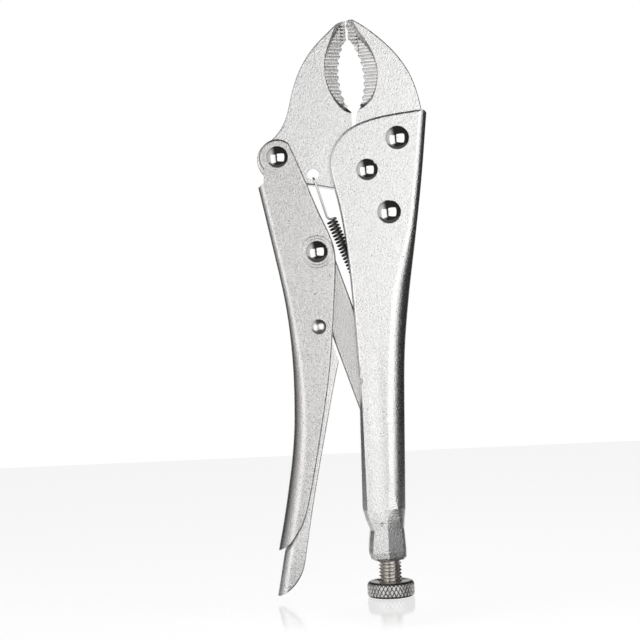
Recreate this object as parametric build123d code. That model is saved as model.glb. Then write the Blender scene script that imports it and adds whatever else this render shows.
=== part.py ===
from build123d import *
import math
import os

os.makedirs("parts", exist_ok=True)

# Sizes in millimetres: X to the right, Y away from the viewer, Z up along the screw towards the jaws.
# The origin is the middle of the jaw mouth at half thickness.

# Pivot and rivet places in the front view, each as (x, z)
JAW_PIVOT = (5.0, -42.0)
LEVER_PIVOT = (-33.0, -35.0)
TOGGLE_PIVOT = (-17.8, -76.0)
RELEASE_PIVOT = (-18.4, -108.0)
UPPER_RIVET = (18.4, -29.0)
LOWER_RIVET = (13.6, -60.4)
SPRING_HOLE = (-18.0, -42.4)
ANCHOR = (2.2, -96.0)
SCREW_X = 7.7
LINK_END_Z = -155.0

# Stack across the width
JAW_HALF = 5.0
SIDE_GAP = 0.2
HANDLE_SHEET = 2.8
LEVER_SHEET = 2.2
RELEASE_SHEET = 1.6
LINK_HALF = 4.7
INSIDE_HALF = JAW_HALF + SIDE_GAP
HANDLE_HALF = INSIDE_HALF + HANDLE_SHEET
LEVER_HALF = INSIDE_HALF + LEVER_SHEET
RELEASE_HALF = INSIDE_HALF - 0.3

# Rivets and fits
SHANK_R = 3.0
RELEASE_SHANK_R = 1.6
HEAD_R = 5.0
PIVOT_HEAD_R = 4.6
RELEASE_HEAD_R = 3.2
HEAD_RIM = 0.08
HEAD_RISE = 0.50
RUNNING_GAP = 0.05
FIXED_GAP = 0.03

# Level sections in each bent-sheet form
STATIONS = 16

# Rounding of the outer rims and the pressed rings round two pivots
RIM_R = 1.0
JAW_RIM_R = 0.6
RELEASE_RIM_R = 0.7
RING_WIDTH = 0.4
RING_DEPTH = 0.15

# Jaws
BOSS_R = 9.5
SOCKET_GAP = 0.5
LEVER_LOBE_R = 7.7
JAW_LOBE = (LEVER_PIVOT[0] - 0.4, LEVER_PIVOT[1] - 1.0)
JAW_LOBE_R = 8.3
SPRING_HOLE_R = 2.7
OVAL_HALF = 11.4
OVAL_LEAN = 0.4
POCKET_STEP = 0.4
BEVEL = 0.42
POCKET_FLAT = 4.0
GROOVE_PITCH = 1.45
GROOVE_DEPTH = 0.45
GROOVE_LOW = -14.5
GROOVE_COUNT = 25
NOTCH_DEPTH = 1.0
NOTCH_COUNT = 10
TIP_GROOVE_FIRST = 19
TIP_GROOVE_DEPTH = 0.4
TIP_NOTCH_DEPTH = 0.3
TIP_NOTCH_COUNT = 3

# Toggle link
LINK_W = 6.3
LINK_SHOULDER = 6.0
LINK_CORNER = 4.0
TONGUE_W = 2.0
TONGUE_HALF = 1.8

# Adjusting screw and knob
THREAD_R = 4.95
THREAD_ROOT_R = 4.05
THREAD_PITCH = 1.5
BORE_R = THREAD_R + 0.1
CUP_DROP = 1.2
CUP_R = 4.35
CUP_FLOOR_R = 2.2
CUP_DEPTH = 4.5
TIP_LENGTH = 7.5
PEG_R = 2.0
PEG_LENGTH = 4.0
KNOB_R = 10.1
KNOB_TOP = -218.3
KNOB_HEIGHT = 6.6
KNOB_SOCKET = 5.0
KNOB_SHOULDER = 1.8
KNOB_FOOT = 1.3

# Spring
WIRE_R = 0.45
COIL_R = 2.0
COIL_PITCH = 1.52
COIL_TURNS = 18
COIL_START = 19.0
PIN_R = 1.5
PIN_SEAT = 1.2


def outline(*edges):
    """Closed face in the front view from joined curves."""
    return Plane.XZ * make_face(Curve() + list(edges))


def slab(face, half):
    """Front-view face thickened evenly to both sides of the middle."""
    return extrude(face, half, both=True)


def plate(edges, half, rims, radius):
    """Slab of an outline with both outer edges of the named curves rounded."""
    body = slab(outline(*edges), half)
    marks = [edge @ 0.5 for rim in rims for edge in rim.edges()]
    chosen = []
    for edge in body.edges():
        middle = edge @ 0.5
        on_rim = any(abs(middle.X - mark.X) + abs(middle.Z - mark.Y) < 0.001 for mark in marks)
        if on_rim and abs(abs(middle.Y) - half) < 0.001:
            chosen.append(edge)
    return fillet(chosen, radius)


def cross_bar(place, radius, half):
    """Round bar across the width at a front-view place."""
    return Pos(place[0], 0, place[1]) * Rot(90, 0, 0) * Cylinder(radius, 2 * half)


def on_circle(centre, radius, degrees):
    """Point of a front-view circle, counted from +X towards +Z."""
    turn = math.radians(degrees)
    return (centre[0] + radius * math.cos(turn), centre[1] + radius * math.sin(turn))


def arc(centre, radius, start, end):
    """Front-view arc from one angle to the other."""
    middle = (start + end) / 2
    return ThreePointArc(*(on_circle(centre, radius, angle) for angle in (start, middle, end)))


def smooth(rows, z):
    """Spine place and corner share at a height, on cubic curves through the rows."""
    for i in range(len(rows) - 1):
        low, high = rows[i], rows[i + 1]
        before = rows[max(i - 1, 0)]
        after = rows[min(i + 2, len(rows) - 1)]
        if high[0] <= z <= low[0]:
            span = high[0] - low[0]
            t = (z - low[0]) / span
            values = []
            for k in (1, 2):
                leave = span * (high[k] - before[k]) / (high[0] - before[0])
                reach = span * (after[k] - low[k]) / (after[0] - low[0])
                rise = t * t * (3 - 2 * t)
                bend = t * (1 - t) * ((1 - t) * leave - t * reach)
                values.append(low[k] + (high[k] - low[k]) * rise + bend)
            return values


def channel(rows, half, sheet, open_x):
    """Bent-sheet form: level sections open at one side and rounded at the spine, joined smoothly."""
    sections = []
    for i in range(STATIONS):
        z = rows[0][0] + (rows[-1][0] - rows[0][0]) * i / (STATIONS - 1)
        spine, share = smooth(rows, z)
        side = math.copysign(1, spine - open_x)
        spine -= side * sheet
        corner = share * half - sheet
        width = half - sheet
        in_x = spine - side * corner
        cut = corner * (1 - math.sqrt(0.5))
        edges = [
            Line((open_x, -width), (in_x, -width)),
            ThreePointArc((in_x, -width), (spine - side * cut, cut - width), (spine, corner - width)),
            Line((spine, corner - width), (spine, width - corner)),
            ThreePointArc((spine, width - corner), (spine - side * cut, width - cut), (in_x, width)),
            Line((in_x, width), (open_x, width)),
            Line((open_x, width), (open_x, -width)),
        ]
        sections.append(Plane.XY.offset(z) * make_face(Curve() + edges))
    return loft(sections)


def rivet(place, shank, head, half):
    """Shank across the width with a domed head on each side."""
    rim = HEAD_RIM * head
    rise = HEAD_RISE * head
    dome_r = (head * head + (rise - rim) ** 2) / (2 * (rise - rim))
    turn = math.asin(head / dome_r) / 2
    dome_mid = (dome_r * math.sin(turn), half + rise - dome_r * (1 - math.cos(turn)))
    edges = [
        Line((0, 0), (shank, 0)),
        Line((shank, 0), (shank, half)),
        Line((shank, half), (head, half)),
        Line((head, half), (head, half + rim)),
        ThreePointArc((head, half + rim), dome_mid, (0, half + rise)),
        Line((0, half + rise), (0, 0)),
    ]
    half_rivet = revolve(Plane.XZ * make_face(Curve() + edges), Axis.Z)
    whole = half_rivet + mirror(half_rivet, Plane.XY)
    return Pos(place[0], 0, place[1]) * Rot(90, 0, 0) * whole


# Fixed handle: one bent sheet with two cheeks, a round spine and a collar closed round the screw
HANDLE_SPINE = [
    (-8, 32.7, 0.42),
    (-45, 28.4, 0.46),
    (-68, 25.1, 0.50),
    (-80, 23.3, 0.71),
    (-92, 21.5, 0.92),
    (-106, 19.6, 0.95),
    (-122, 17.9, 0.90),
    (-150, 16.7, 0.95),
    (-188, 15.4, 0.95),
]
FLANGE_TOP = -131.0
FOLD_Z = -187.0
FLANGE_HIGH_X = -2.1
FLANGE_LOW_X = -2.9
FLANGE_SLANT = 1.8
DIMPLE = (4.8, -193.2)
DIMPLE_R = 1.1
DIMPLE_RISE = 0.75
RIDGE_X = 7.3
FACET_TOP = -172.0
FACET_LEAN = 14
CREASE_DEPTH = 0.24
CREASE_TOP = -112.0
CREASE_FULL = -136.0
CREASE_LOW = -182.0
CREASE_END = -193.0
# Collar levels: height, left and right end, half depth, lean beyond the ridge and end radius
COLLAR = [
    (FOLD_Z, FLANGE_LOW_X, smooth(HANDLE_SPINE, FOLD_Z)[0], HANDLE_HALF, FACET_LEAN, 6.3),
    (-191.5, -1.8, 14.8, HANDLE_HALF - 0.1, 26, 4.0),
    (-195.8, 0.0, 14.4, HANDLE_HALF - 0.3, 31, 2.8),
    (-200.5, -0.7, 14.7, HANDLE_HALF - 0.3, 31, 2.5),
    (-205.5, -1.1, 15.0, HANDLE_HALF - 0.3, 31, 2.5),
    (-208.0, -0.2, 15.0, HANDLE_HALF - 0.5, 31, 2.5),
    (-209.2, 1.6, 13.8, HANDLE_HALF - 1.6, 31, 2.0),
]


def collar_section(z, left, right, half, lean, end_r):
    """Level section of the closed collar: a slanted seam, flat to a ridge, leaning to a round end."""
    turn = math.radians(lean)
    knee_x = right - end_r * (1 - math.sin(turn))
    knee_y = (knee_x - RIDGE_X) * math.tan(turn) - half
    end_y = knee_y + end_r * math.cos(turn)
    seam_y = HANDLE_SHEET - 0.3 - half
    front = [
        Polyline((left, seam_y), (left + FLANGE_SLANT - 0.2, -half), (RIDGE_X, -half), (knee_x, knee_y)),
        TangentArc((knee_x, knee_y), (right, end_y), tangent=(math.cos(turn), math.sin(turn))),
    ]
    seam = Line((left, -seam_y), (left, seam_y))
    far = Line((right, end_y), (right, -end_y))
    back = [mirror(edge, Plane.XZ) for edge in front]
    return Plane.XY.offset(z) * make_face(Curve() + [*front, *back, seam, far])


def slant_section(edge_x, width, side):
    """Level section of the corner cut off a flange's free edge, through the whole sheet."""
    over_x, over_y = 0.2 * width, 0.2 * HANDLE_SHEET
    corner = Polyline(
        (edge_x + width + over_x, side * (HANDLE_HALF + over_y)),
        (edge_x - over_x, side * (HANDLE_HALF - HANDLE_SHEET - over_y)),
        (edge_x - over_x, side * (HANDLE_HALF + over_y)),
        close=True,
    )
    return make_face(corner)


def facet_section(z, lean, side):
    """Level section of what is taken off one face beyond the ridge, by a lean."""
    drop = 20 * math.tan(math.radians(lean))
    edge = Polyline(
        (RIDGE_X, side * HANDLE_HALF),
        (RIDGE_X + 20, side * (HANDLE_HALF - drop)),
        (RIDGE_X + 20, side * (HANDLE_HALF + 2)),
        (RIDGE_X, side * (HANDLE_HALF + 2)),
        close=True,
    )
    return Plane.XY.offset(z) * make_face(edge)


def crease_section(z, depth, side):
    """Level section of the shallow hollow pressed along the screw, by a depth, on one face."""
    points = []
    for offset, share in ((-6.6, 0.0), (-3.6, 0.42), (-2.0, 0.82), (-0.8, 1.0), (0.2, 0.8), (1.6, 0.0)):
        points.append((RIDGE_X + offset, side * (HANDLE_HALF - depth * share)))
    left, right = points[0], points[-1]
    above = side * (HANDLE_HALF + 2)
    rest = Polyline(right, (right[0], above), (left[0], above), left)
    return Plane.XY.offset(z) * make_face(Curve() + [Spline(*points), rest])


def fixed_handle():
    cheek_edge = Spline(
        (27.0, -17.5),
        (7.5, -20.4),
        (-5.2, -26.8),
        (-10.5, -37.0),
        (-8.6, -51.0),
        (-5.1, -73.6),
        (-3.3, -98.4),
        (-1.9, FLANGE_TOP),
    )
    flange_edge = Polyline(
        (-1.9, FLANGE_TOP),
        (FLANGE_HIGH_X, FLANGE_TOP - 2.5),
        (FLANGE_LOW_X, FOLD_Z),
    )
    rest = Polyline(
        (FLANGE_LOW_X, FOLD_Z),
        (40, FOLD_Z),
        (40, -40),
        (31.4, -18.6),
        (30.4, -17.6),
        (27.0, -17.5),
    )
    blank = plate([cheek_edge, flange_edge, rest], HANDLE_HALF, [cheek_edge], RIM_R)
    body = channel(HANDLE_SPINE, HANDLE_HALF, 0, -25) & blank

    # The flanges' free edges are cut at a slant, and close round the screw below the fold
    for side in (-1, 1):
        low = Plane.XY.offset(FOLD_Z) * slant_section(FLANGE_LOW_X, FLANGE_SLANT, side)
        high = Plane.XY.offset(FLANGE_TOP - 2.5) * slant_section(FLANGE_HIGH_X, 0.4 * FLANGE_SLANT, side)
        body -= loft([high, low])
        body -= loft([facet_section(FACET_TOP, -0.2, side), facet_section(FOLD_Z, FACET_LEAN, side)])
    for upper, lower in zip(COLLAR, COLLAR[1:]):
        body += loft([collar_section(*upper), collar_section(*lower)])
    for side in (-1, 1):
        sections = [
            crease_section(CREASE_TOP, 0.004, side),
            crease_section(CREASE_FULL, CREASE_DEPTH, side),
            crease_section(CREASE_LOW, CREASE_DEPTH, side),
            crease_section(CREASE_END, 0.1, side),
        ]
        for upper, lower in zip(sections, sections[1:]):
            body -= loft([upper, lower], ruled=True)
    for side in (-1, 1):
        body -= Pos(DIMPLE[0], side * (HANDLE_HALF + DIMPLE_RISE - 0.2), DIMPLE[1]) * Sphere(DIMPLE_R)

    hollow = channel(HANDLE_SPINE, HANDLE_HALF, HANDLE_SHEET, -40)
    body -= hollow & Pos(0, 0, FOLD_Z + 100.5) * Box(200, 200, 200)
    body -= Pos(SCREW_X, 0, LINK_END_Z - 50) * Cylinder(BORE_R, 120)
    for place in (JAW_PIVOT, UPPER_RIVET, LOWER_RIVET):
        body -= cross_bar(place, SHANK_R + FIXED_GAP, HANDLE_HALF + 1)
    body -= cross_bar(ANCHOR, PIN_R + FIXED_GAP, INSIDE_HALF + PIN_SEAT)
    body -= cross_bar((-2.2, FLANGE_TOP - 0.9), 1.6, HANDLE_HALF + 1)
    return body


# Jaws: forged plates with a bevelled oval mouth, cross teeth and finer teeth at the tips
def oval(shrink):
    """Egg outline of the mouth pocket, drawn in by an amount."""
    keep = 1 - shrink / OVAL_HALF
    points = [
        (-0.4, -17.2),
        (4.6, -15.2),
        (8.4, -11.9),
        (10.8, -5.5),
        (11.4, 0.85),
        (10.1, 6.9),
        (6.8, 13.7),
        (2.9, 19.7),
        (-1.6, 26.0),
        (-6.1, 19.7),
        (-8.7, 13.7),
        (-10.9, 6.9),
        (-11.3, 0.85),
        (-10.3, -5.5),
        (-7.4, -11.9),
        (-4.6, -15.4),
    ]
    return make_face(Spline(*[(keep * x, keep * z) for x, z in points], periodic=True))


def mouth_pocket():
    """Space cut from the front face: a leaning oval wall, two slopes to the edges and their grooves."""
    depth = JAW_HALF + 0.5
    front = Plane((0, -JAW_HALF - 0.5, 0), x_dir=(1, 0, 0), z_dir=(0, -1, 0))
    back = Plane((0, 0, 0), x_dir=(1, 0, 0), z_dir=(0, -1, 0))
    wall = loft([front * oval(-0.5 * OVAL_LEAN), back * oval(JAW_HALF * OVAL_LEAN)])
    edge_y = POCKET_STEP - JAW_HALF
    floor_y = edge_y + BEVEL * (OVAL_HALF - POCKET_FLAT)
    wedge = Polyline(
        (-OVAL_HALF - 2, -depth),
        (OVAL_HALF + 2, -depth),
        (OVAL_HALF + 2, edge_y - 2 * BEVEL),
        (POCKET_FLAT, floor_y),
        (-POCKET_FLAT, floor_y),
        (-OVAL_HALF - 2, edge_y - 2 * BEVEL),
        close=True,
    )
    space = Pos(0, 0, -30) * extrude(make_face(wedge), 60)
    slope = math.atan(BEVEL)
    for side in (-1, 1):
        run = Vector(side * math.cos(slope), -math.sin(slope), 0)
        grooves = []
        for i in range(GROOVE_COUNT):
            z = GROOVE_LOW + GROOVE_PITCH * i
            plane = Plane((0, floor_y + BEVEL * POCKET_FLAT, z), x_dir=(0, 0, 1), z_dir=run)
            half = 0.46 * GROOVE_PITCH
            rim = 0.2 * side
            notch = Polyline((-half, rim), (half, rim), (0, -side * GROOVE_DEPTH), close=True)
            grooves.append(extrude(plane * make_face(notch), 16))
        space += grooves

    # Short grooves carry the teeth across the flat between the slopes, up at the tips
    for i in range(TIP_GROOVE_FIRST, GROOVE_COUNT):
        plane = Plane((-POCKET_FLAT, floor_y, GROOVE_LOW + GROOVE_PITCH * i), x_dir=(0, 0, 1), z_dir=(1, 0, 0))
        notch = Polyline((-0.6, 0.2), (0.6, 0.2), (0, -TIP_GROOVE_DEPTH), close=True)
        space += extrude(plane * make_face(notch), 2 * POCKET_FLAT)
    return wall & space


def edge_notches(low, middle, high, side):
    """Notches across the whole thickness of a mouth edge, one at every other groove."""
    edge = ThreePointArc(low, middle, high)
    bars = []
    for i in range(NOTCH_COUNT):
        z = GROOVE_LOW + 2 * GROOVE_PITCH * i
        on_edge = min((edge @ (k / 200) for k in range(201)), key=lambda point: abs(point.Y - z))
        reach = 3.6 * NOTCH_DEPTH
        root = on_edge.X + side * NOTCH_DEPTH
        rim = on_edge.X - 2 * side * NOTCH_DEPTH
        notch = Polyline((rim, z + reach), (rim, z - reach), (root, z), close=True)
        bars.append(slab(outline(notch), JAW_HALF + 1))
    return bars


def tip_notches(x, low_z, side):
    """Finer notches on the gripping face near the tip, one at every groove."""
    bars = []
    for i in range(TIP_NOTCH_COUNT):
        z = low_z + GROOVE_PITCH * i
        reach = 0.9 * GROOVE_PITCH
        root = x + side * TIP_NOTCH_DEPTH
        rim = x - side * TIP_NOTCH_DEPTH
        notch = Polyline((rim, z + reach), (rim, z - reach), (root, z), close=True)
        bars.append(slab(outline(notch), JAW_HALF + 1))
    return bars


LEFT_MOUTH = ((-0.3, -16.4), (-5.2, 1.5), (-1.4, 14.6))
RIGHT_MOUTH = ((2.1, -16.3), (5.4, -1.5), (-0.5, 14.7))
THROAT_LEFT = -0.7
THROAT_RIGHT = 1.4


def movable_jaw():
    boss_end = math.degrees(math.acos((THROAT_LEFT - JAW_PIVOT[0]) / BOSS_R))
    boss_top = on_circle(JAW_PIVOT, BOSS_R, boss_end)
    boss_low = on_circle(JAW_PIVOT, BOSS_R, 248 - 360)
    lobe_top = on_circle(JAW_LOBE, JAW_LOBE_R, 116)
    lobe_low = on_circle(JAW_LOBE, JAW_LOBE_R, 266)
    low, middle, high = LEFT_MOUTH
    back = Spline(
        (-1.55, 22.7),
        (-4.4, 21.6),
        (-8.6, 18.2),
        (-15.7, 11.3),
        (-21.7, 2.5),
        (-26.2, -9.6),
        (-28.4, -17.6),
        (-31.6, -23.6),
        lobe_top,
    )
    lobe = arc(JAW_LOBE, JAW_LOBE_R, 116, 266)
    under = Polyline(lobe_low, (-20.5, -46.8), (-9.2, -49.2), boss_low)
    edges = [
        back,
        lobe,
        under,
        arc(JAW_PIVOT, BOSS_R, 248 - 360, boss_end),
        Polyline(boss_top, (THROAT_LEFT, -23.0), low),
        ThreePointArc(low, middle, high),
        Polyline(high, (-1.45, 19.5), (-1.55, 22.7)),
    ]
    body = plate(edges, JAW_HALF, [back, lobe, under], JAW_RIM_R)
    pocket = mouth_pocket()
    body -= pocket
    body -= mirror(pocket, Plane.XZ)
    for bar in edge_notches(low, middle, high, -1) + tip_notches(-1.4, 15.9, -1):
        body -= bar
    for place in (JAW_PIVOT, LEVER_PIVOT):
        body -= cross_bar(place, SHANK_R + RUNNING_GAP, JAW_HALF + 1)
    body -= cross_bar(SPRING_HOLE, SPRING_HOLE_R, JAW_HALF + 1)
    return body


def fixed_jaw():
    socket = BOSS_R + SOCKET_GAP
    socket_top = math.degrees(math.acos((THROAT_RIGHT - JAW_PIVOT[0]) / socket))
    top = on_circle(JAW_PIVOT, socket, socket_top)
    low_end = on_circle(JAW_PIVOT, socket, -50)
    low, middle, high = RIGHT_MOUTH
    clear = HANDLE_SHEET + 2.5
    tail_left = on_circle(LOWER_RIVET, 7.2, 160)
    tail_end = on_circle(LOWER_RIVET, 7.2, 290)
    back = Spline(
        (1.8, 22.5),
        (4.6, 20.8),
        (8.7, 17.8),
        (16.2, 11.0),
        (23.6, 1.3),
        (26.7, -5.6),
        (28.4, -11.7),
        (29.5, -17.2),
    )
    edges = [
        back,
        Polyline(
            (29.5, -17.2),
            (smooth(HANDLE_SPINE, -17.2)[0] - clear, -17.2),
            (smooth(HANDLE_SPINE, -45)[0] - clear, -45),
            (smooth(HANDLE_SPINE, -62)[0] - clear, -62),
            tail_end,
        ),
        arc(LOWER_RIVET, 7.2, 290, 160),
        Line(tail_left, low_end),
        arc(JAW_PIVOT, socket, -50, socket_top),
        Polyline(top, (THROAT_RIGHT, -21.4), low),
        ThreePointArc(low, middle, high),
        Polyline(high, (-0.75, 19.0), (-1.15, 20.6), (-1.1, 22.6), (0.1, 22.9), (1.8, 22.5)),
    ]
    body = plate(edges, JAW_HALF, [back], JAW_RIM_R)
    pocket = mouth_pocket()
    body -= pocket
    body -= mirror(pocket, Plane.XZ)
    for bar in edge_notches(low, middle, high, 1) + tip_notches(-0.6, 15.9, 1):
        body -= bar
    for place in (UPPER_RIVET, LOWER_RIVET):
        body -= cross_bar(place, SHANK_R + FIXED_GAP, JAW_HALF + 1)
    return body


# Lever handle: bent sheet whose two ears hold the jaw tail and the link
LEVER_SPINE = [
    (-38, -43.6, 0.40),
    (-70, -37.3, 0.42),
    (-96, -32.5, 0.45),
    (-114, -30.7, 0.58),
    (-132, -30.2, 0.78),
    (-155, -31.2, 0.88),
    (-178, -34.6, 0.95),
    (-206, -40.2, 0.95),
]
WEB_TOP = -46.0
LEVER_RING_R = 6.0
TOGGLE_RING_R = 6.6


def lever_handle():
    ear_low = on_circle(LEVER_PIVOT, LEVER_LOBE_R, 222)
    ear_end = on_circle(LEVER_PIVOT, LEVER_LOBE_R, 48)
    right_edge = Spline(
        ear_end,
        (-25.6, -34.6),
        (-21.1, -46.2),
        (-15.4, -61.2),
        (-10.2, -76.0),
        (-10.2, -84.5),
        (-11.9, -104.3),
        (-15.1, -130.9),
        (-19.7, -155.0),
        (-25.4, -181.8),
        (-28.6, -191.8),
        (-39.4, -203.0),
    )
    lobe = arc(LEVER_PIVOT, LEVER_LOBE_R, 222, 48)
    edges = [
        lobe,
        right_edge,
        Polyline((-39.4, -203.0), (-60, -203.0), (-60, -60), (-39.3, WEB_TOP), ear_low),
    ]
    blank = plate(edges, LEVER_HALF, [lobe, right_edge], RIM_R)
    body = channel(LEVER_SPINE, LEVER_HALF, 0, 10) & blank
    ears = Pos(LEVER_PIVOT[0], 0, LEVER_PIVOT[1]) * Box(2 * LEVER_LOBE_R + 4, 2 * LEVER_HALF, 24)
    body += blank & ears
    body -= channel(LEVER_SPINE, LEVER_HALF, LEVER_SHEET, 30)
    body -= Pos(-35, 0, WEB_TOP + 19.5) * Box(60, 2 * INSIDE_HALF, 40)
    for place in (LEVER_PIVOT, TOGGLE_PIVOT):
        body -= cross_bar(place, SHANK_R + FIXED_GAP, LEVER_HALF + 1)
    body -= cross_bar(RELEASE_PIVOT, RELEASE_SHANK_R + FIXED_GAP, LEVER_HALF + 1)
    for place, radius in ((LEVER_PIVOT, LEVER_RING_R), (TOGGLE_PIVOT, TOGGLE_RING_R)):
        ring = cross_bar(place, radius + RING_WIDTH / 2, LEVER_HALF + 1)
        ring -= cross_bar(place, radius - RING_WIDTH / 2, LEVER_HALF + 1)
        body -= ring - cross_bar(place, radius + 1, LEVER_HALF - RING_DEPTH)
    return body


# Release lever: a smaller channel nested in the lever handle, with a nose beside the link
RELEASE_LOBE_R = 3.2
RELEASE_CLEAR = LEVER_SHEET + 0.5
RELEASE_CORNER = 0.92


def release_lever():
    rows = []
    for z in (-110, -122, -134, -146, -158, -170, -182, -194):
        rows.append((z, smooth(LEVER_SPINE, z)[0] + RELEASE_CLEAR, RELEASE_CORNER))
    for z, spine in ((-206.0, -37.6), (-216.0, -39.6), (-226.0, -41.6)):
        rows.append((z, spine, RELEASE_CORNER))
    lobe_left = on_circle(RELEASE_PIVOT, RELEASE_LOBE_R, 190)
    lobe_right = on_circle(RELEASE_PIVOT, RELEASE_LOBE_R, 17)
    right_edge = Spline(
        (-10.6, -123.4),
        (-14.1, -137.9),
        (-17.6, -153.8),
        (-21.9, -173.6),
        (-27.9, -205.0),
        (-29.6, -212.0),
        (-33.3, -218.0),
        (-40.2, -222.5),
    )
    edges = [
        arc(RELEASE_PIVOT, RELEASE_LOBE_R, 190, 17),
        Polyline(lobe_right, (-11.4, -120.0), (-10.6, -123.4)),
        right_edge,
        Polyline((-40.2, -222.5), (-60, -222.5), (-60, -120), (-28, -118), lobe_left),
    ]
    blank = plate(edges, RELEASE_HALF, [right_edge], RELEASE_RIM_R)
    ears = blank & Pos(-15, 0, -107.5) * Box(30, 2 * RELEASE_HALF, 9)
    body = channel(rows, RELEASE_HALF, 0, 0) & blank
    body += ears
    body -= channel(rows, RELEASE_HALF, RELEASE_SHEET, 10)
    body -= Pos(-15, 0, -106.5) * Box(30, 2 * (RELEASE_HALF - RELEASE_SHEET), 25)
    body -= cross_bar(RELEASE_PIVOT, RELEASE_SHANK_R + RUNNING_GAP, LEVER_HALF)
    return body


# Toggle link: a straight bar from the lever to the tongue that sits in the screw's cup
def toggle_link():
    run = Vector(SCREW_X - TOGGLE_PIVOT[0], LINK_END_Z - TOGGLE_PIVOT[1])
    length = run.length
    end = length - LINK_SHOULDER
    sides = Polyline(
        (0, -LINK_W),
        (end, -LINK_W),
        (end, LINK_W - LINK_CORNER),
        (end - LINK_CORNER, LINK_W),
        (0, LINK_W),
        close=True,
    )
    bar = make_face(sides) + Circle(LINK_W)
    tongue = Pos(length - 5, 0) * Rectangle(10, 2 * TONGUE_W) + Pos(length, 0) * Circle(TONGUE_W)
    body = extrude(bar, LINK_HALF, both=True)
    rims = body.edges().group_by(Axis.Z)
    body = fillet(rims[0] + rims[-1], RIM_R)
    body += extrude(tongue, TONGUE_HALF, both=True)
    lie = Plane((TOGGLE_PIVOT[0], 0, TOGGLE_PIVOT[1]), x_dir=(run.X, 0, run.Y), z_dir=(0, -1, 0))
    body = lie * body
    body -= cross_bar(TOGGLE_PIVOT, SHANK_R + RUNNING_GAP, LINK_HALF + 1)
    return body


# Adjusting screw: the point, the threaded rod and the knob
CUP_TOP = LINK_END_Z - CUP_DROP
ROD_TOP = CUP_TOP - TIP_LENGTH - 0.1


def screw_point():
    profile = Polyline(
        (0, CUP_TOP - CUP_DEPTH),
        (CUP_FLOOR_R, CUP_TOP - CUP_DEPTH),
        (CUP_R, CUP_TOP),
        (THREAD_R, CUP_TOP),
        (THREAD_R, CUP_TOP - TIP_LENGTH),
        (PEG_R, CUP_TOP - TIP_LENGTH),
        (PEG_R, CUP_TOP - TIP_LENGTH - PEG_LENGTH),
        (0, CUP_TOP - TIP_LENGTH - PEG_LENGTH),
        close=True,
    )
    return Pos(SCREW_X, 0, 0) * revolve(Plane.XZ * make_face(profile), Axis.Z)


def adjusting_screw():
    peg_floor = ROD_TOP - PEG_LENGTH - 0.3
    points = [(0, peg_floor), (PEG_R + RUNNING_GAP, peg_floor), (PEG_R + RUNNING_GAP, ROD_TOP)]
    points.append((THREAD_ROOT_R, ROD_TOP))
    rings = int((ROD_TOP - KNOB_TOP - 1) / THREAD_PITCH)
    for i in range(rings):
        z = ROD_TOP - 0.3 - THREAD_PITCH * i
        points.append((THREAD_ROOT_R, z))
        points.append((THREAD_R, z - 0.42 * THREAD_PITCH))
        points.append((THREAD_R, z - 0.55 * THREAD_PITCH))
        points.append((THREAD_ROOT_R, z - 0.97 * THREAD_PITCH))
    points.append((THREAD_ROOT_R, KNOB_TOP - KNOB_SOCKET))
    points.append((0, KNOB_TOP - KNOB_SOCKET))
    profile = Polyline(*points, close=True)
    return Pos(SCREW_X, 0, 0) * revolve(Plane.XZ * make_face(profile), Axis.Z)


def screw_knob():
    body = Pos(SCREW_X, 0, KNOB_TOP - KNOB_HEIGHT / 2) * Cylinder(KNOB_R, KNOB_HEIGHT)
    body = fillet(body.edges().group_by(Axis.Z)[-1], KNOB_SHOULDER)
    body = fillet(body.edges().group_by(Axis.Z)[0], KNOB_FOOT)
    body -= Pos(SCREW_X, 0, KNOB_TOP - KNOB_SOCKET / 2) * Cylinder(THREAD_ROOT_R + FIXED_GAP, KNOB_SOCKET)
    return body


# Spring: one wire from a hook through the jaw, round the coil, to a loop on the anchor pin
def biarc(start, start_way, end, end_way):
    """Two arcs that leave one point and reach another along the given directions."""
    gap = end - start
    ways = start_way + end_way
    a = 2 * (1 - start_way.dot(end_way))
    b = 2 * gap.dot(ways)
    c = -gap.dot(gap)
    reach = (math.sqrt(b * b - 4 * a * c) - b) / (2 * a) if a > 1e-9 else -c / b
    middle = (start + start_way * reach + end - end_way * reach) * 0.5
    first = Edge.make_tangent_arc(start, start_way, middle)
    return [first, Edge.make_tangent_arc(middle, first % 1, end)]


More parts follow.
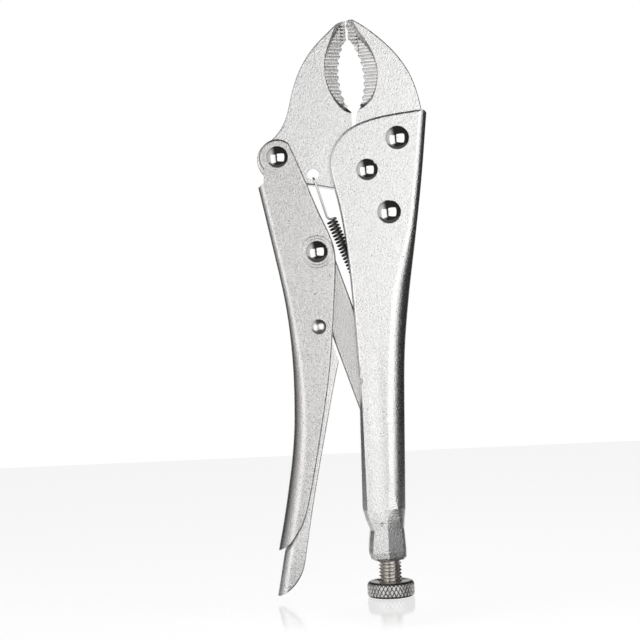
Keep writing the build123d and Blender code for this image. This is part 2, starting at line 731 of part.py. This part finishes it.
def spring():
    hook = Vector(SPRING_HOLE[0], 0, SPRING_HOLE[1] - SPRING_HOLE_R + WIRE_R + 0.3)
    pin = Vector(ANCHOR[0], 0, ANCHOR[1])
    along = (pin - hook).normalized()
    across = Vector(-along.Z, 0, along.X)
    depth = Vector(0, 1, 0)

    def coil_point(turns):
        angle = 2 * math.pi * turns - math.pi / 2
        out = across * math.cos(angle) + depth * math.sin(angle)
        return hook + along * (COIL_START + COIL_PITCH * turns) + out * COIL_R

    def coil_way(turns):
        angle = 2 * math.pi * turns - math.pi / 2
        way = depth * math.cos(angle) - across * math.sin(angle)
        return (way * (2 * math.pi * COIL_R) + along * COIL_PITCH).normalized()

    inside = hook + depth * 3.0
    bend_in = hook - depth * (JAW_HALF - 0.6)
    bend_out = hook - depth * (JAW_HALF + 1.0) + along * 1.6
    leg_end = hook + along * (COIL_START - 2.0) - across * 1.3 - depth * (COIL_R + 0.1)
    leg_way = (leg_end - bend_out).normalized()
    edges = [Edge.make_line(inside, bend_in)]
    edges += biarc(bend_in, depth * -1, bend_out, leg_way)
    edges.append(Edge.make_line(bend_out, leg_end))
    edges += biarc(leg_end, leg_way, coil_point(0), coil_way(0))
    halves = 2 * COIL_TURNS
    for i in range(halves):
        here, after = i / 2, (i + 1) / 2
        edges += biarc(coil_point(here), coil_way(here), coil_point(after), coil_way(after))

    # The last half turn runs out along the left side and loops round the pin
    loop_r = PIN_R + WIRE_R + 0.15
    end = coil_point(COIL_TURNS)
    run_out = pin - along * 2.2 + across * loop_r - depth * 0.2
    edges += biarc(end, coil_way(COIL_TURNS), run_out, along)
    level = depth * run_out.Y
    bottom = pin + along * loop_r + level
    far = pin - across * loop_r + level
    touch = pin + across * loop_r + level
    edges.append(Edge.make_line(run_out, touch))
    edges.append(Edge.make_three_point_arc(touch, bottom, far))
    path = Wire(edges)
    wire = sweep(Plane(inside, z_dir=depth * -1) * Circle(WIRE_R), path=path)
    print("spring wire length", round(path.length, 1), "least gap to itself", round(self_gap(path), 2))
    return wire


def self_gap(path):
    """Least clear space between stretches of the wire more than half a coil apart, from points on it."""
    steps = 900
    points = [path @ (i / steps) for i in range(steps + 1)]
    apart = int(math.pi * COIL_R * steps / path.length)
    least = 99.0
    for i, first in enumerate(points):
        for second in points[i + apart:]:
            least = min(least, (first - second).length)
    return least - 2 * WIRE_R


def anchor_pin():
    return cross_bar(ANCHOR, PIN_R, INSIDE_HALF + PIN_SEAT - 0.05)


nodes = {
    "fixed_handle": fixed_handle(),
    "fixed_jaw": fixed_jaw(),
    "movable_jaw": movable_jaw(),
    "lever_handle": lever_handle(),
    "toggle_link": toggle_link(),
    "release_lever": release_lever(),
    "screw_point": screw_point(),
    "adjusting_screw": adjusting_screw(),
    "screw_knob": screw_knob(),
    "spring": spring(),
    "spring_anchor_pin": anchor_pin(),
    "fixed_jaw_upper_rivet": rivet(UPPER_RIVET, SHANK_R, HEAD_R, HANDLE_HALF),
    "fixed_jaw_lower_rivet": rivet(LOWER_RIVET, SHANK_R, HEAD_R, HANDLE_HALF),
    "jaw_pivot_rivet": rivet(JAW_PIVOT, SHANK_R, PIVOT_HEAD_R, HANDLE_HALF),
    "lever_pivot_rivet": rivet(LEVER_PIVOT, SHANK_R, PIVOT_HEAD_R, LEVER_HALF),
    "toggle_rivet": rivet(TOGGLE_PIVOT, SHANK_R, PIVOT_HEAD_R, LEVER_HALF),
    "release_rivet": rivet(RELEASE_PIVOT, RELEASE_SHANK_R, RELEASE_HEAD_R, LEVER_HALF),
}
for name, shape in nodes.items():
    export_step(shape, f"parts/{name}.step")
    print(name, "solids", len(shape.solids()), "volume", round(shape.volume))
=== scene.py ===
import math
import bpy
import numpy as np
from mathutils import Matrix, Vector


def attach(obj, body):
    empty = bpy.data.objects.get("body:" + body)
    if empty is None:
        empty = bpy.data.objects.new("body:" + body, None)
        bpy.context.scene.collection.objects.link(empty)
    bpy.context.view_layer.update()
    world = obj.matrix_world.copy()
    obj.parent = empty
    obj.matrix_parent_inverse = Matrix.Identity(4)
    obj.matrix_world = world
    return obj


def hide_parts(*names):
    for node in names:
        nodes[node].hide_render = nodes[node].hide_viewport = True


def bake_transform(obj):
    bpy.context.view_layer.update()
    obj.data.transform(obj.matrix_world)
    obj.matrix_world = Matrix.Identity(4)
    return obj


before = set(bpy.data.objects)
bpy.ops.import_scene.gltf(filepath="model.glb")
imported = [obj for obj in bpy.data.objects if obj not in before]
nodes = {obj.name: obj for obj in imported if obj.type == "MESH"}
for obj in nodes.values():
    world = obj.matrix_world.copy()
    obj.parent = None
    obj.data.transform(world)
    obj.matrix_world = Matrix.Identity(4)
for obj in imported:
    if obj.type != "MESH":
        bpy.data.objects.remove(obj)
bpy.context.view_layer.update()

# Fixed handle: one blank of mild steel sheet, folded to a channel round the fixed jaw and closed to a
# collar round the screw. It is tumbled and nickel plated, which leaves a pale satin skin with a sparkle.


class Shade:
    """A shader socket on which + - * / and abs() add Math nodes."""

    def __init__(self, finish, socket):
        self.finish = finish
        self.socket = socket

    def math(self, operation, *values):
        sockets = dict(enumerate(values))
        return self.finish.node("ShaderNodeMath", {"operation": operation}, sockets)

    def __add__(self, other):
        return self.math("ADD", self, other)

    def __radd__(self, other):
        return self.math("ADD", other, self)

    def __sub__(self, other):
        return self.math("SUBTRACT", self, other)

    def __rsub__(self, other):
        return self.math("SUBTRACT", other, self)

    def __mul__(self, other):
        return self.math("MULTIPLY", self, other)

    def __rmul__(self, other):
        return self.math("MULTIPLY", other, self)

    def __truediv__(self, other):
        return self.math("DIVIDE", self, other)

    def __rtruediv__(self, other):
        return self.math("DIVIDE", other, self)

    def __abs__(self):
        return self.math("ABSOLUTE", self)

    def root(self):
        return self.math("SQRT", self)

    def step(self, low, high):
        """0 below low and 1 above high, with a soft rise between them."""
        settings = {"interpolation_type": "SMOOTHSTEP"}
        sockets = {"Value": self, "From Min": low, "From Max": high}
        return self.finish.node("ShaderNodeMapRange", settings, sockets)


class Finish:
    """A surface finish: a node tree that is filled by node() and closed by show()."""

    def __init__(self, name, world=None):
        self.owner = world or bpy.data.materials.new(name)
        self.owner.use_nodes = True
        self.tree = self.owner.node_tree
        self.tree.nodes.clear()

    def node(self, kind, settings=None, sockets=None, out=0):
        """Adds a node of a type, sets its settings, then its sockets' values or links."""
        made = self.tree.nodes.new(kind)
        for key, value in (settings or {}).items():
            setattr(made, key, value)
        for key, value in (sockets or {}).items():
            if isinstance(value, Shade):
                self.tree.links.new(value.socket, made.inputs[key])
            else:
                made.inputs[key].default_value = value
        return Shade(self, made.outputs[out]) if len(made.outputs) else None

    def place(self):
        return self.node("ShaderNodeTexCoord", out="Object")

    def axes(self, where=None):
        """The x, y and z of a place or a direction, which is the object's own place unless one is given."""
        where = where or self.place()
        return [self.node("ShaderNodeSeparateXYZ", {}, {0: where}, out=axis) for axis in range(3)]

    def noise(self, scale, detail=2.0, stretch=None):
        """Noise of a number of grains per metre, drawn out by a stretch of the coordinates."""
        where = self.place()
        if stretch:
            where = self.node("ShaderNodeVectorMath", {"operation": "MULTIPLY"}, {0: where, 1: stretch})
        sockets = {"Vector": where, "Scale": scale, "Detail": detail, "Roughness": 0.6}
        return self.node("ShaderNodeTexNoise", {}, sockets)

    def between(self, factor, first, second):
        """Colour that runs from the first to the second with the factor."""
        sockets = {0: factor, 6: (*first, 1.0), 7: (*second, 1.0)}
        return self.node("ShaderNodeMix", {"data_type": "RGBA"}, sockets, out=2)

    def relief(self, height, depth, strength=1.0):
        """Normal of a height from 0 to 1 that stands for a depth in metres."""
        sockets = {"Height": height, "Distance": depth, "Strength": strength}
        return self.node("ShaderNodeBump", {}, sockets)

    def metal(self, colour, rough, normal):
        sockets = {"Base Color": colour, "Metallic": 1.0, "Roughness": rough, "Normal": normal}
        return self.show(self.node("ShaderNodeBsdfPrincipled", {}, sockets))

    def show(self, shader, kind="ShaderNodeOutputMaterial"):
        self.node(kind, {}, {"Surface": shader})
        return self.owner


def plate_grain(finish):
    """Fine grain and broad clouding of the plate, and the brightness that they give together."""
    grains_per_metre, clouds_per_metre = 1700.0, 95.0
    grain_contrast, cloud_contrast = 2.2, 0.35
    grain = finish.noise(grains_per_metre, 2.0)
    cloud = finish.noise(clouds_per_metre, 3.0)
    light = (grain - 0.5) * grain_contrast + (cloud - 0.5) * cloud_contrast + 0.5
    return grain, cloud, light


def plate_colour(finish, light, tone):
    """Colour of the plate: the tone, darkened or lightened by the brightness."""
    darkest, palest = 0.80, 1.16
    dark_tone = tuple(darkest * part for part in tone)
    pale_tone = tuple(min(1.0, palest * part) for part in tone)
    return finish.between(light, dark_tone, pale_tone)


GRAIN_SHINE = 0.22


def satin_plate(name, tone, rough, pressed_at=None):
    """Satin nickel: a fine sparkling grain, broader clouding, and a few darker specks.

    A rivet pressed at (x, z) leaves a shallow raised ring in the sheet round its head."""
    grain_depth, speck_dark, speck_depth, cloud_shine = 0.00022, 0.25, 0.5, 0.10
    finish = Finish(name)
    grain, cloud, light = plate_grain(finish)
    specks = finish.noise(620.0, 1.0).step(0.70, 0.78)
    colour = plate_colour(finish, light - specks * speck_dark, tone)
    roughness = rough + (grain - 0.5) * GRAIN_SHINE + (cloud - 0.5) * cloud_shine
    height = grain - specks * speck_depth
    if pressed_at:
        ring_inner, ring_outer, ring_edge, ring_height = 0.0054, 0.0066, 0.0004, 0.9
        x, _, z = finish.axes()
        off_x, off_z = x - pressed_at[0], z - pressed_at[1]
        away = (off_x * off_x + off_z * off_z).root()
        rise = away.step(ring_inner, ring_inner + ring_edge)
        fall = away.step(ring_outer, ring_outer + ring_edge)
        height = height + (rise - fall) * ring_height
    normal = finish.relief(height, grain_depth, 0.75)
    return finish.metal(colour, roughness, normal)


def coat(name, finish):
    """Puts a finish on a piece of the frame."""
    mesh = nodes[name].data
    mesh.materials.clear()
    mesh.materials.append(finish)


coat("fixed_handle", satin_plate("handle_plate", (0.94, 0.925, 0.91), 0.29))

# Fixed and movable jaw: forged steel plates 10 mm thick, plated like the handle. The oval mouth is
# milled with cross teeth and its ground faces are greyer and smoother than the skin round them.


def jaw_plate(name, tone, rough):
    """Satin plate outside the oval mouth and greyer ground steel inside it.

    The oval is found where the scaled distance from its middle is below 1."""
    mouth_middle, mouth_wide, mouth_up, mouth_down = 0.001, 0.0124, 0.0250, 0.0190
    jaw_half, grain_depth, ground_shine = 0.005, 0.00020, 0.06
    finish = Finish(name)
    grain, _, light = plate_grain(finish)
    drag = finish.noise(420.0, 2.0, (0.25, 1.0, 3.2))
    x, y, z = finish.axes()
    up = (z - mouth_middle).step(-0.0001, 0.0001)
    tall = up * mouth_up + (1.0 - up) * mouth_down
    across = x / mouth_wide
    along = (z - mouth_middle) / tall
    inside = 1.0 - (across * across + along * along).step(0.93, 1.0)
    ground = inside * (jaw_half - abs(y)).step(0.00002, 0.0002)
    skin = plate_colour(finish, light, tone)
    bare = finish.between(drag, (0.58, 0.575, 0.57), (0.86, 0.85, 0.84))
    colour = finish.node("ShaderNodeMix", {"data_type": "RGBA"}, {0: ground, 6: skin, 7: bare}, out=2)
    roughness = rough + (grain - 0.5) * GRAIN_SHINE - ground * ground_shine
    normal = finish.relief(grain + drag * ground, grain_depth, 0.7)
    return finish.metal(colour, roughness, normal)


coat("fixed_jaw", jaw_plate("fixed_jaw_plate", (0.95, 0.935, 0.92), 0.29))
coat("movable_jaw", jaw_plate("movable_jaw_plate", (0.90, 0.885, 0.875), 0.29))

# Lever handle, toggle link and release lever: lighter plated sheet for the two levers and a solid bar
# for the link, all pinned between the jaw's tail and the screw.

TOGGLE_PIVOT = (-0.0178, -0.076)
coat("lever_handle", satin_plate("lever_plate", (0.74, 0.725, 0.715), 0.29, TOGGLE_PIVOT))
coat("release_lever", satin_plate("release_plate", (0.95, 0.935, 0.92), 0.30))
coat("toggle_link", satin_plate("link_plate", (0.66, 0.645, 0.635), 0.29))

# Rivets: turned steel with domed heads, polished and bright plated, pressed through the sheets. The
# small one that holds the release lever is duller than the rest.


def polished(name, tone, rough):
    """Mirror plate with a faint haze and hairlines left by the press."""
    finish = Finish(name)
    hazed, haze_shine, hair_shine, hair_depth = 0.90, 0.05, 0.03, 0.000004
    haze = finish.noise(260.0, 3.0)
    hair = finish.noise(900.0, 2.0, (1.0, 1.0, 6.0))
    dark_tone = tuple(hazed * part for part in tone)
    colour = finish.between(haze, dark_tone, tone)
    roughness = rough + haze * haze_shine + hair * hair_shine
    normal = finish.relief(hair, hair_depth, 0.4)
    return finish.metal(colour, roughness, normal)


rivet_plate = polished("rivet_plate", (0.83, 0.82, 0.81), 0.05)
for name in (
    "fixed_jaw_upper_rivet",
    "fixed_jaw_lower_rivet",
    "jaw_pivot_rivet",
    "lever_pivot_rivet",
    "toggle_rivet",
):
    coat(name, rivet_plate)
coat("release_rivet", polished("small_rivet_plate", (0.90, 0.89, 0.88), 0.24))

# Spring: hard drawn wire of 0.9 mm, hooked through the jaw, wound in 18 open turns and looped round a
# pin in the handle. On the tool it stretches when the jaw opens; here it is built once in one shape.


def surface(name, grid, closed_ends=False):
    """Mesh from a grid of points (rows, round, xyz) that is closed round each row.

    Each quad joins a row to the next; the first and last row may be closed by one face each."""
    rows, sides, _ = grid.shape
    here = np.arange(sides)
    after = np.roll(here, -1)
    start = sides * np.arange(rows - 1)[:, None]
    quads = np.stack([start + here, start + after, start + sides + after, start + sides + here], axis=-1)
    faces = quads.reshape(-1, 4).tolist()
    if closed_ends:
        faces.append(here[::-1].tolist())
        faces.append((here + sides * (rows - 1)).tolist())
    mesh = bpy.data.meshes.new(name)
    mesh.from_pydata(grid.reshape(-1, 3).tolist(), [], faces)
    mesh.validate()
    mesh.polygons.foreach_set("use_smooth", np.ones(len(mesh.polygons), bool))
    piece = bpy.data.objects.new(name, mesh)
    bpy.context.scene.collection.objects.link(piece)
    return piece


def unit(rows):
    """Directions brought to length 1."""
    return rows / np.linalg.norm(rows, axis=-1, keepdims=True)


def bridge(start, start_way, end, end_way, count):
    """Cubic curve from one point to another that leaves and arrives along the given directions."""
    t = np.linspace(0.0, 1.0, count)[:, None]
    reach = np.linalg.norm(end - start)
    rise = t * t * (3 - 2 * t)
    bend = t * (1 - t) * ((1 - t) * start_way - t * end_way) * reach
    return start + (end - start) * rise + bend


def spring_path():
    """Middle line of the wire in metres with a guide direction beside it at every point.

    Straight through the jaw, a bend, the leg, the coil as a helix, the run-out and half a loop."""
    hook = np.array([-18.0, 0.0, -44.35])
    pin = np.array([2.2, 0.0, -96.0])
    along = unit(pin - hook)
    across = np.array([-along[2], 0.0, along[0]])
    depth = np.array([0.0, 1.0, 0.0])
    coil_start, coil_pitch, coil_r, turns, loop_r = 19.0, 1.52, 2.0, 18, 2.1
    tail_back, bend_front, leg_front, leg_start = 3.0, 4.4, 6.0, 1.6
    leg_along, leg_across, leg_depth = 17.0, 1.3, 2.1
    loop_rise, loop_front = 2.2, 0.2

    turn = np.linspace(0.0, turns, 24 * turns + 1)[:, None]
    angle = 2 * np.pi * turn - np.pi / 2
    out = across * np.cos(angle) + depth * np.sin(angle)
    coil = hook + along * (coil_start + coil_pitch * turn) + out * coil_r
    way = unit(across + along * coil_pitch / (2 * np.pi * coil_r))

    inside = hook + tail_back * depth
    bend_in = hook - bend_front * depth
    bend_out = hook - leg_front * depth + leg_start * along
    leg_end = hook + leg_along * along - leg_across * across - leg_depth * depth
    leg_way = unit(leg_end - bend_out)
    run_out = pin - loop_rise * along + loop_r * across - loop_front * depth
    half = np.linspace(0.0, np.pi, 17)[:, None]
    loop = pin - loop_front * depth + loop_r * (across * np.cos(half) + along * np.sin(half))

    straight = np.linspace(0.0, 1.0, 9)[:, None]
    stretches = [
        (inside + (bend_in - inside) * straight, across, across),
        (bridge(bend_in, -depth, bend_out, leg_way, 13), across, across),
        (bend_out + (leg_end - bend_out) * straight, across, across),
        (bridge(leg_end, leg_way, coil[0], way, 17), across, -depth),
        (coil, None, None),
        (bridge(coil[-1], way, run_out, along, 17), -depth, -depth),
        (loop, -depth, -depth),
    ]
    points, guides = [], []
    for line, first, last in stretches:
        share = np.linspace(0.0, 1.0, len(line))[:, None]
        guide = out if first is None else first + (last - first) * share
        points.append(line[1:] if points else line)
        guides.append(guide[1:] if guides else guide)
    return np.concatenate(points) / 1000, np.concatenate(guides)


def wire(path, guides, radius, sides):
    """Round tube: at each path point a circle spanned by the guide, squared to the path, and its cross."""
    way = unit(np.gradient(path, axis=0))
    side = unit(guides - way * np.sum(guides * way, axis=1, keepdims=True))
    other = np.cross(way, side)
    turn = np.linspace(0.0, 2 * np.pi, sides, endpoint=False)[None, :, None]
    return path[:, None] + radius * (side[:, None] * np.cos(turn) + other[:, None] * np.sin(turn))


def drawn_wire(name):
    """Drawn steel with die marks along it: the coil below the leg is painted near black as shade, and the
    straight leg keeps a pale steel tone.
    """
    finish = Finish(name)
    coil_top, leg_foot = -0.0635, -0.0605
    marks = finish.noise(1500.0, 3.0)
    _, _, z = finish.axes()
    # Painted shade: below coil_top the colour falls to near black, standing for the shadow the coil sits in
    # between the handles.
    light = z.step(coil_top, leg_foot) * 0.85 + marks * 0.3
    colour = finish.between(light, (0.06, 0.058, 0.056), (0.92, 0.91, 0.90))
    return finish.metal(colour, 0.24 + marks * 0.14, finish.relief(marks, 0.00002, 0.3))


WIRE_R = 0.00045
spring = surface("spring_wire", wire(*spring_path(), WIRE_R, 14), closed_ends=True)
spring.data.materials.append(drawn_wire("spring_steel"))
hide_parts("spring")
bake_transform(spring)


def turned_steel(name, tone, rough):
    """Plain machined steel with fine turning lines round the screw's axis and oily clouding."""
    finish = Finish(name)
    stained, oil_shine, line_depth = 0.70, 0.12, 0.00003
    lines = finish.noise(1400.0, 2.0, (0.3, 0.3, 3.0))
    oil = finish.noise(210.0, 3.0)
    dark_tone = tuple(stained * part for part in tone)
    colour = finish.between(lines * 0.6 + oil * 0.4, dark_tone, tone)
    return finish.metal(colour, rough + oil * oil_shine, finish.relief(lines, line_depth, 0.4))


coat("spring_anchor_pin", turned_steel("pin_steel", (0.62, 0.60, 0.57), 0.30))

# Adjusting screw: M10 rod with a rolled thread, a cupped point that bears on the link and a knurled
# knob pressed on its lower end. Steel, turned and left a little warm in colour.

SCREW_X = 0.0077
ROD_TOP, ROD_BOTTOM = -0.1638, -0.2228


def lathe(profile_r, profile_z, sides):
    """Turned form: radius (rows, or rows by sides) and height of each row, carried round the screw axis."""
    turn = np.linspace(0.0, 2 * np.pi, sides, endpoint=False)[None, :]
    radius = np.broadcast_to(profile_r, (len(profile_z), sides))
    height = np.broadcast_to(profile_z[:, None], radius.shape)
    return np.stack([SCREW_X + radius * np.cos(turn), radius * np.sin(turn), height], axis=-1)


def thread():
    """Rod whose radius rises and falls with height, shifted by one pitch per turn, with a bored top end."""
    crest, root, pitch, sides = 0.00495, 0.00405, 0.0015, 72
    ridge_top, ridge_slope, run_out, bore_r, bore_depth = 1.18, 2.5016, 0.0012, 0.00205, 0.0043
    thread_top = ROD_TOP - 0.0002
    z = np.linspace(ROD_BOTTOM, thread_top, 480)
    turn = np.linspace(0.0, 1.0, sides, endpoint=False)
    phase = np.mod(z[:, None] / pitch - turn[None, :], 1.0)
    ridge = np.clip(ridge_top - ridge_slope * np.abs(phase - 0.5), 0.0, 1.0)
    fade = np.clip((thread_top - z) / run_out, 0.0, 1.0)[:, None]
    rod = root + (crest - root) * ridge * fade
    bore_floor = ROD_TOP - bore_depth
    ends_r = np.array([[root], [bore_r], [bore_r], [0.00002]])
    ends_z = np.array([ROD_TOP, ROD_TOP, bore_floor, bore_floor])
    radius = np.concatenate([rod, np.broadcast_to(ends_r, (4, sides))])
    return lathe(radius, np.concatenate([z, ends_z]), sides)


screw = surface("threaded_rod", thread(), closed_ends=True)
screw.data.materials.append(turned_steel("screw_steel", (1.0, 0.955, 0.91), 0.20))
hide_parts("adjusting_screw")
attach(screw, "screw")
coat("screw_point", turned_steel("point_steel", (0.86, 0.82, 0.78), 0.30))


def knurled_knob():
    """Knob profile with rounded shoulders; its band is cut by two crossing sets of spiral grooves.

    The cut is deepest where either spiral's triangle wave is low, and fades over the shoulders."""
    outer, top, bottom, shoulder, foot = 0.0101, -0.2183, -0.2249, 0.0018, 0.0013
    count, depth, sides, slant, crest_share = 34, 0.00060, 680, 0.55, 3.4
    socket, socket_depth, cut_from, cut_full = 0.0052, 0.003, 0.0088, 0.0098
    foot_turn = np.linspace(-np.pi / 2, 0.0, 12)
    shoulder_turn = np.linspace(0.0, np.pi / 2, 14)
    band_z = np.linspace(bottom + foot, top - shoulder, 40)[1:-1]
    radius = np.concatenate(
        [outer - foot + foot * np.cos(foot_turn), np.full(len(band_z), outer),
         outer - shoulder + shoulder * np.cos(shoulder_turn), [socket, socket]]
    )
    height = np.concatenate(
        [bottom + foot + foot * np.sin(foot_turn), band_z,
         top - shoulder + shoulder * np.sin(shoulder_turn), [top, top - socket_depth]]
    )
    turn = np.linspace(0.0, 1.0, sides, endpoint=False)[None, :]
    climb = height[:, None] / (2 * np.pi * outer / count) * slant
    right = np.abs(np.mod(count * turn + climb, 1.0) - 0.5) * 2
    left = np.abs(np.mod(count * turn - climb, 1.0) - 0.5) * 2
    cut = 1.0 - np.minimum(np.minimum(right, left) * crest_share, 1.0)
    ease = np.clip((radius - cut_from) / (cut_full - cut_from), 0.0, 1.0)[:, None]
    return lathe(radius[:, None] - depth * cut * ease, height, sides)


def knurled_steel(name):
    """Crests and grooves told apart by the distance from the screw's axis; the grooves are painted near
    black as shade.
    """
    finish = Finish(name)
    x, y, _ = finish.axes()
    off = x - SCREW_X
    radius = (off * off + y * y).root()
    crests = radius.step(0.00955, 0.00995)
    ends = 1.0 - radius.step(0.0086, 0.0094)
    dirt = finish.noise(500.0, 3.0)
    # Painted shade: between the crests and the ends, in the grooves, the colour falls to near black.
    light = crests * 0.88 + dirt * 0.12 + ends * 0.45
    colour = finish.between(light, (0.06, 0.057, 0.054), (1.0, 0.98, 0.96))
    return finish.metal(colour, 0.34 + dirt * 0.06, finish.relief(dirt, 0.00003, 0.4))


knob = surface("knurled_knob", knurled_knob(), closed_ends=True)
knob.data.materials.append(knurled_steel("knob_steel"))
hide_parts("screw_knob")
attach(knob, "screw")

# Floor: a pale table top, low enough for the screw at full travel, that takes the tool's soft shadow.
# Metal sees it white only in a strip behind the tool.


def level_sheet(name, front, back, half, height):
    """Flat rectangle at a height, from a front to a back edge and to the same width on both sides."""
    mesh = bpy.data.meshes.new(name)
    corners = [(-half, front, height), (half, front, height), (half, back, height), (-half, back, height)]
    mesh.from_pydata(corners, [], [[0, 1, 2, 3]])
    piece = bpy.data.objects.new(name, mesh)
    bpy.context.scene.collection.objects.link(piece)
    return piece


WHITE = (1.0, 1.0, 1.0, 1.0)
STAGE_FRONT = -0.12
FLOOR_BACK, FLOOR_HALF, FLOOR_Z = 0.90, 0.40, -0.2372
table = Finish("pale_floor")
camera_ray = table.node("ShaderNodeLightPath", out="Is Camera Ray")
mirror_ray = table.node("ShaderNodeLightPath", out="Is Glossy Ray")
x, y, _ = table.axes()
behind = y.step(0.0, 0.06) * (1.0 - abs(x).step(0.12, 0.22))
gloss = table.node(
    "ShaderNodeBsdfPrincipled", {},
    {"Base Color": (0.35, 0.35, 0.35, 1.0), "Roughness": 0.10, "Specular IOR Level": 0.5},
)
glow = table.node("ShaderNodeEmission", {}, {"Color": WHITE, "Strength": 0.88})
paper = table.node(
    "ShaderNodeBsdfPrincipled", {},
    {"Base Color": (0.9, 0.9, 0.9, 1.0), "Roughness": 1.0, "Specular IOR Level": 0.0,
     "Emission Color": WHITE, "Emission Strength": 0.80},
)
unseen = table.node("ShaderNodeMixShader", {}, {0: mirror_ray * behind, 1: gloss, 2: glow})
top = table.node("ShaderNodeMixShader", {}, {0: camera_ray, 1: unseen, 2: paper})
floor = level_sheet("floor", STAGE_FRONT, FLOOR_BACK, FLOOR_HALF, FLOOR_Z)
floor.data.materials.append(table.show(top))

# Clear sheet: a glass plate just under the knob that gives back a faint mirror image of the tool's feet
# to a low camera, fading out round them.

FOOT_X = -0.01
SHEET_BACK, SHEET_HALF, SHEET_Z = 0.12, 0.12, -0.2251
MIRROR_SHARE = 0.24
glass = Finish("clear_sheet")
camera_ray = glass.node("ShaderNodeLightPath", out="Is Camera Ray")
x, y, _ = glass.axes()
off_foot = x - FOOT_X
near = 1.0 - (off_foot * off_foot + y * y).root().step(0.045, 0.085)
low_view = glass.node("ShaderNodeLayerWeight", {}, {"Blend": 0.5}, out="Facing").step(0.70, 0.78)
clear = glass.node("ShaderNodeBsdfTransparent")
mirror = glass.node("ShaderNodeBsdfAnisotropic", {}, {"Color": WHITE, "Roughness": 0.10})
shown = camera_ray * near * low_view * MIRROR_SHARE
face = glass.node("ShaderNodeMixShader", {}, {0: shown, 1: clear, 2: mirror})
plate = level_sheet("clear_sheet", STAGE_FRONT, SHEET_BACK, SHEET_HALF, SHEET_Z)
plate.data.materials.append(glass.show(face))

# Studio: a white backdrop that the camera and mirroring metal see, and a dark room round it, greyer to
# the left; one large soft box to the right of the camera and one low to the left.

world = bpy.data.worlds.new("studio")
bpy.context.scene.world = world
studio = Finish("studio", world)
way = studio.node("ShaderNodeTexCoord", out="Generated")
way_x, way_y, _ = studio.axes(way)
camera_ray = studio.node("ShaderNodeLightPath", out="Is Camera Ray")
backdrop = way_y.step(0.88, 0.97)
left_wall = (0.0 - way_x).step(0.25, 0.75) * (0.0 - way_y).step(-0.7, 0.5)
dark_wall, grey_wall = 0.025, 0.65
room = dark_wall + left_wall * grey_wall
plain_light = room + backdrop * (1.0 - room)
strength = plain_light + camera_ray * (1.0 - plain_light)
back = studio.node("ShaderNodeBackground", {}, {"Color": WHITE, "Strength": strength})
studio.show(back, "ShaderNodeOutputWorld")

TOOL_MIDDLE = Vector((-0.004, 0.0, -0.10))
LAMP_DISTANCE, LAMP_HEIGHT = 0.80, 0.90


def soft_box(name, azimuth, elevation, width, radiance):
    """Soft rectangular lamp aimed at the tool: azimuth from the front to the right, power from radiance."""
    turn, lift = math.radians(azimuth), math.radians(elevation)
    away = Vector((math.sin(turn) * math.cos(lift), -math.cos(turn) * math.cos(lift), math.sin(lift)))
    lamp = bpy.data.lights.new(name, "AREA")
    lamp.shape = "RECTANGLE"
    lamp.size, lamp.size_y = width, LAMP_HEIGHT
    lamp.energy = radiance * math.pi * width * LAMP_HEIGHT
    box = bpy.data.objects.new(name, lamp)
    box.location = TOOL_MIDDLE + away * LAMP_DISTANCE
    box.rotation_euler = away.to_track_quat("Z", "Y").to_euler()
    box.visible_camera = False
    bpy.context.scene.collection.objects.link(box)


soft_box("right_box", azimuth=25, elevation=2, width=0.86, radiance=1.34)
soft_box("left_box", azimuth=-34, elevation=-6, width=0.54, radiance=1.05)

# Camera: the photograph's front view, level with the middle of the tool and rolled a little. The lens
# shows a width of 273 mm at the tool's front.

SENSOR_WIDTH, SEEN_WIDTH, SEEN_FROM, ROLL = 36.0, 0.273, 0.694, 2.5
camera_data = bpy.data.cameras.new("camera")
camera_data.sensor_width = SENSOR_WIDTH
camera_data.lens = SENSOR_WIDTH * SEEN_FROM / SEEN_WIDTH
camera = bpy.data.objects.new("camera", camera_data)
camera.location = (-0.0178, -0.70, -0.1051)
camera.rotation_euler = (math.radians(90), math.radians(ROLL), 0.0)
bpy.context.scene.collection.objects.link(camera)
bpy.context.scene.camera = camera
bpy.context.scene.view_settings.view_transform = "Standard"
